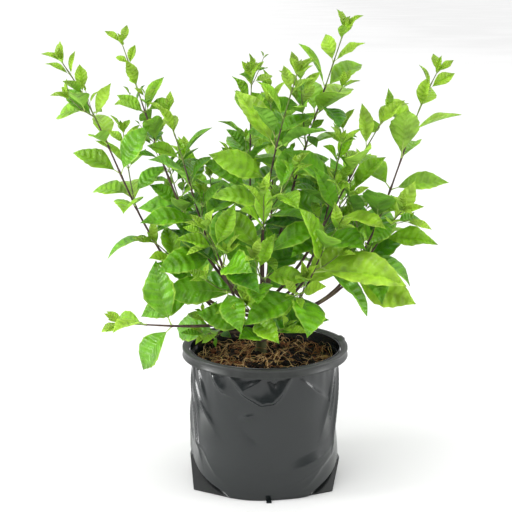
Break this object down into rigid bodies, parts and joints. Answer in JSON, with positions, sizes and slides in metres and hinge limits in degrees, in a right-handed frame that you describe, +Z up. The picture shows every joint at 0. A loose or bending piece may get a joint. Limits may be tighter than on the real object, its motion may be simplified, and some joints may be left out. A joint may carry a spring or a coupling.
{
  "type": "potted shrub",
  "caption": "Young leafy shrub with upswept boughs and pointed opposite leaves, in a black film grow bag with a stiff collar ring, filled with coir.",
  "frame": {"origin": "middle of the bag's flat underside, on the floor", "axes": "+Z up, +X to the right and +Y away for someone who faces the plant as in the picture; metres"},
  "size_m": [0.4312, 0.303, 0.5102],
  "materials": {
    "foliage": "satin leaf green",
    "bough_bark": "matt young bark, purple-brown",
    "trunk_bark": "matt bark, green-brown",
    "coir_and_bark": "loose coir fibre and bark chips",
    "bag_film": "satin black film",
    "collar_plastic": "satin black plastic"
  },
  "bodies": {
    "root": {"bough_back": "bough_bark", "bough_back_left": "bough_bark", "bough_back_low": "bough_bark", "bough_back_right": "bough_bark", "bough_centre_front": "bough_bark", "bough_centre_left": "bough_bark", "bough_centre_tall": "bough_bark", "bough_front": "bough_bark", "bough_front_left": "bough_bark", "bough_front_middle": "bough_bark", "bough_front_right": "bough_bark", "bough_left_inner": "bough_bark", "bough_left_low": "bough_bark", "bough_left_mid": "bough_bark", "bough_left_outer": "bough_bark", "bough_left_side": "bough_bark", "bough_right_inner": "bough_bark", "bough_right_low": "bough_bark", "bough_right_mid": "bough_bark", "bough_right_outer": "bough_bark", "bough_rim_left": "bough_bark", "bough_rim_right": "bough_bark", "collar": "collar_plastic", "foliage_back": "foliage", "foliage_back_left": "foliage", "foliage_back_low": "foliage", "foliage_back_right": "foliage", "foliage_centre_front": "foliage", "foliage_centre_left": "foliage", "foliage_centre_tall": "foliage", "foliage_front": "foliage", "foliage_front_left": "foliage", "foliage_front_middle": "foliage", "foliage_front_right": "foliage", "foliage_left_inner": "foliage", "foliage_left_low": "foliage", "foliage_left_mid": "foliage", "foliage_left_outer": "foliage", "foliage_left_side": "foliage", "foliage_right_inner": "foliage", "foliage_right_low": "foliage", "foliage_right_mid": "foliage", "foliage_right_outer": "foliage", "foliage_rim_left": "foliage", "foliage_rim_right": "foliage", "grow_bag": "bag_film", "growing_medium": "coir_and_bark", "trunk": "trunk_bark"}
  },
  "joints": []
}
